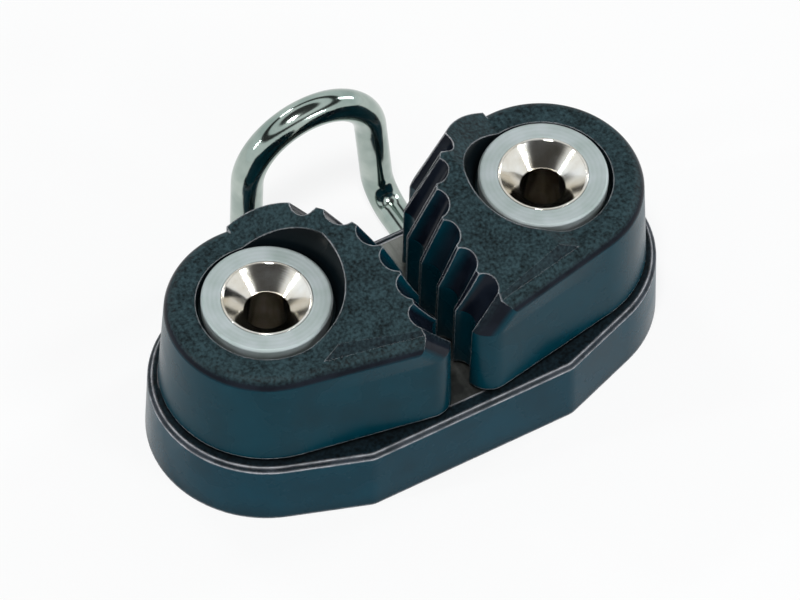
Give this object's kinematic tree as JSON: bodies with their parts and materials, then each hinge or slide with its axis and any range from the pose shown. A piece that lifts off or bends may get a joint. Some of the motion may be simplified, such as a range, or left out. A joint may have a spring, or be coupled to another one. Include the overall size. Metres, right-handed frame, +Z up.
{
  "type": "cam cleat",
  "caption": "Ball-bearing cam cleat for small rope: sprung toothed cams on a moulded base, with a bent wire fairlead behind.",
  "frame": {"origin": "midway between the two screw axes, on the face that rests on the deck", "axes": "+Z up from the deck, +X from the left pivot to the right one, +Y towards the wire fairlead, where the loaded rope comes in"},
  "size_m": [0.0672, 0.0415, 0.028],
  "materials": {
    "cam_plastic": "satin moulded, fine grain on top",
    "base_plastic": "satin moulded",
    "polished_steel": "polished stainless",
    "turned_steel": "turned, matt",
    "plate_steel": "rolled sheet",
    "spring_steel": "drawn wire",
    "ball_plastic": "plain"
  },
  "bodies": {
    "deck_base": {"base": "base_plastic", "channel_plate": "plate_steel", "wire_fairlead": "polished_steel", "sleeve_left": "polished_steel", "top_washer_left": "turned_steel", "spring_left": "spring_steel", "lower_balls_left": "ball_plastic", "upper_balls_left": "ball_plastic", "sleeve_right": "polished_steel", "top_washer_right": "turned_steel", "spring_right": "spring_steel", "lower_balls_right": "ball_plastic", "upper_balls_right": "ball_plastic"},
    "left_cam": {"cam_left": "cam_plastic"},
    "right_cam": {"cam_right": "cam_plastic"}
  },
  "joints": [
    {"name": "left_cam_pivot", "type": "hinge", "parent": "deck_base", "child": "left_cam", "pos_m": [-0.019, 0, 0.01], "axis": [0, 0, -1], "range_deg": [0, 42], "stiffness_Nm_per_rad": 0.02, "springref_deg": -17.19, "deforming": ["spring_left"]},
    {"name": "right_cam_pivot", "type": "hinge", "parent": "deck_base", "child": "right_cam", "pos_m": [0.019, 0, 0.01], "axis": [0, 0, 1], "range_deg": [0, 42], "stiffness_Nm_per_rad": 0.02, "springref_deg": -17.19, "deforming": ["spring_right"]}
  ]
}
